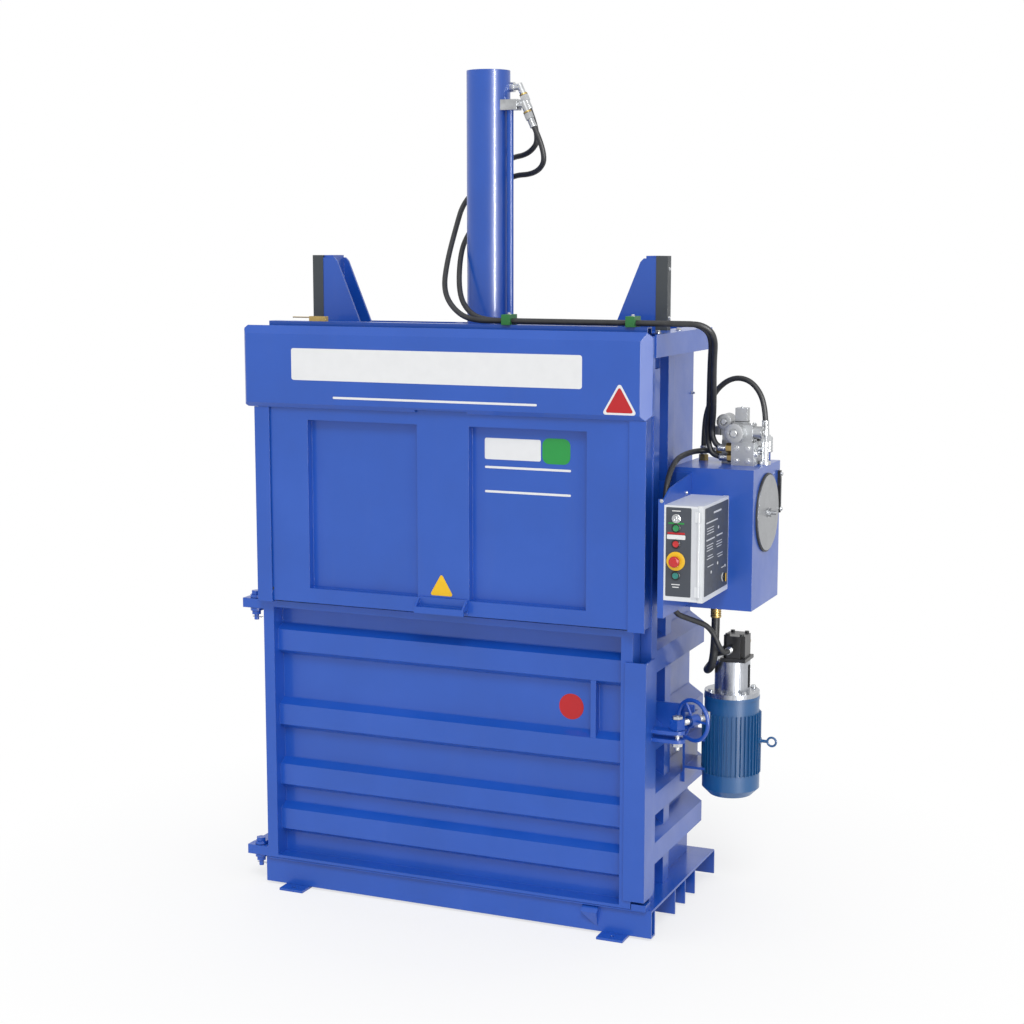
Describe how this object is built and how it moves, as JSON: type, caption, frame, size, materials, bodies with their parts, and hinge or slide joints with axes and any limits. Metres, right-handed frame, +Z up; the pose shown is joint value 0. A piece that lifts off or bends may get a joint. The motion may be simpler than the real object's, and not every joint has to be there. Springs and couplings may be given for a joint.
{
  "type": "recycling baler",
  "caption": "Vertical recycling baler with ribbed chamber, swing door and handwheel latch, lift-up feed gate, overhead hydraulic press and side power unit.",
  "frame": {"origin": "on the floor, midway between the four anchor holes", "axes": "+Z up, +X towards the operator's right, -Y towards the operator"},
  "size_m": [2.169, 1.023, 3.404],
  "materials": {
    "frame_blue": "satin enamel on folded steel sheet",
    "motor_blue": "satin enamel on cast housing",
    "zinc_steel": "bright zinc plated",
    "plate_steel": "plain steel",
    "rod_chrome": "polished hard chrome",
    "cast_aluminium": "as cast",
    "valve_block": "satin grey paint",
    "pump_black": "satin black paint",
    "fitting_brass": "yellow passivated",
    "black_rubber": "matte rubber",
    "slide_pad": "dark slide plastic",
    "black_plastic": "matte",
    "box_white": "light grey powder coat",
    "button_green": "gloss",
    "button_teal": "gloss",
    "button_red": "gloss",
    "clamp_green": "matte"
  },
  "bodies": {
    "frame": {"floor_deck": "frame_blue", "front_sill": "frame_blue", "foot_plates": "frame_blue", "left_side_wall": "frame_blue", "right_side_wall": "frame_blue", "rear_wall": "frame_blue", "left_front_post": "frame_blue", "right_front_post": "frame_blue", "door_hinge_pins": "frame_blue", "latch_keeper": "frame_blue", "front_hood": "frame_blue", "header_beam": "frame_blue", "left_top_rail": "frame_blue", "right_top_rail": "frame_blue", "cylinder_barrel": "frame_blue", "cylinder_crosshead": "frame_blue", "rod_supply_pipe": "frame_blue", "extend_elbow": "zinc_steel", "oil_tank": "frame_blue", "cover_gasket": "black_rubber", "tank_cover": "plate_steel", "oil_level_gauge": "black_plastic", "valve_manifold": "valve_block", "solenoid_valves": "valve_block", "hose_fittings": "fitting_brass", "return_fitting": "zinc_steel", "motor_housing": "motor_blue", "bell_housing": "cast_aluminium", "gear_pump": "pump_black", "motor_bracket": "frame_blue", "control_arm": "frame_blue", "control_box": "box_white", "limit_switch": "fitting_brass", "hose_extend": "black_rubber", "hose_retract": "black_rubber", "return_hose": "black_rubber", "pressure_hose": "black_rubber", "suction_hose": "black_rubber", "hose_clamps": "clamp_green"},
    "door": {"door_panel": "frame_blue", "door_latch_channel": "frame_blue", "latch_pivot_bolt": "zinc_steel"},
    "latch": {"swing_screw": "zinc_steel"},
    "wheel": {"handwheel": "frame_blue"},
    "draw": {"draw_bolt": "zinc_steel"},
    "gate": {"gate_panel": "frame_blue", "gate_handle": "frame_blue"},
    "press": {"platen": "frame_blue", "left_tower": "frame_blue", "right_tower": "frame_blue", "guide_pads": "slide_pad", "piston_rod": "rod_chrome"},
    "lid": {"control_lid": "box_white"},
    "lock": {"lid_lock": "black_plastic"},
    "key": {"key_switch": "zinc_steel"},
    "start": {"start_button": "button_green"},
    "stop": {"stop_button": "button_red"},
    "reset": {"reset_button": "button_teal"},
    "emergency": {"emergency_button": "button_red"},
    "rotor": {"motor_rotor": "plate_steel"}
  },
  "joints": [
    {"name": "door_swing", "type": "hinge", "parent": "frame", "child": "door", "pos_m": [-0.9, -0.412, 0.6], "axis": [0, 0, -1], "range_deg": [0, 160]},
    {"name": "latch_swing", "type": "hinge", "parent": "door", "child": "latch", "pos_m": [0.94, -0.345, 0.866], "axis": [0, 0, -1], "range_deg": [-26, 64]},
    {"name": "wheel_spin", "type": "hinge", "parent": "latch", "child": "wheel", "pos_m": [0.94, -0.345, 0.866], "axis": [0.4384, 0.8988, 0], "range_deg": [-720, 150]},
    {"name": "bolt_draw", "type": "slide", "parent": "latch", "child": "draw", "axis": [-0.4384, -0.8988, 0], "range_m": [-0.0121, 0.00255]},
    {"name": "gate_lift", "type": "slide", "parent": "frame", "child": "gate", "axis": [0, 0, 1], "range_m": [0, 0.7]},
    {"name": "press_stroke", "type": "slide", "parent": "frame", "child": "press", "axis": [0, 0, -1], "range_m": [0, 1.05]},
    {"name": "lid_swing", "type": "hinge", "parent": "frame", "child": "lid", "pos_m": [1.0665, -0.509, 1.564], "axis": [0, 0, -1], "range_deg": [0, 110]},
    {"name": "lock_turn", "type": "hinge", "parent": "lid", "child": "lock", "pos_m": [1.08, -0.245, 1.44], "axis": [1, 0, 0], "range_deg": [0, 90]},
    {"name": "key_turn", "type": "hinge", "parent": "frame", "child": "key", "pos_m": [0.977, -0.504, 1.696], "axis": [0, 1, 0], "range_deg": [0, 90]},
    {"name": "start_press", "type": "slide", "parent": "frame", "child": "start", "axis": [0, 1, 0], "range_m": [0, 0.004], "stiffness_N_per_m": 400},
    {"name": "stop_press", "type": "slide", "parent": "frame", "child": "stop", "axis": [0, 1, 0], "range_m": [0, 0.004], "stiffness_N_per_m": 400},
    {"name": "reset_press", "type": "slide", "parent": "frame", "child": "reset", "axis": [0, 1, 0], "range_m": [0, 0.004], "stiffness_N_per_m": 400},
    {"name": "emergency_press", "type": "slide", "parent": "frame", "child": "emergency", "axis": [0, 1, 0], "range_m": [0, 0.005], "stiffness_N_per_m": 400},
    {"name": "rotor_spin", "type": "hinge", "parent": "frame", "child": "rotor", "pos_m": [1.014, 0.147, 0.7], "axis": [0, 0, 1], "continuous": true}
  ],
  "couplings": [
    {"joint": "bolt_draw", "follows": "wheel_spin", "m_per_rad": 0.00095493}
  ]
}
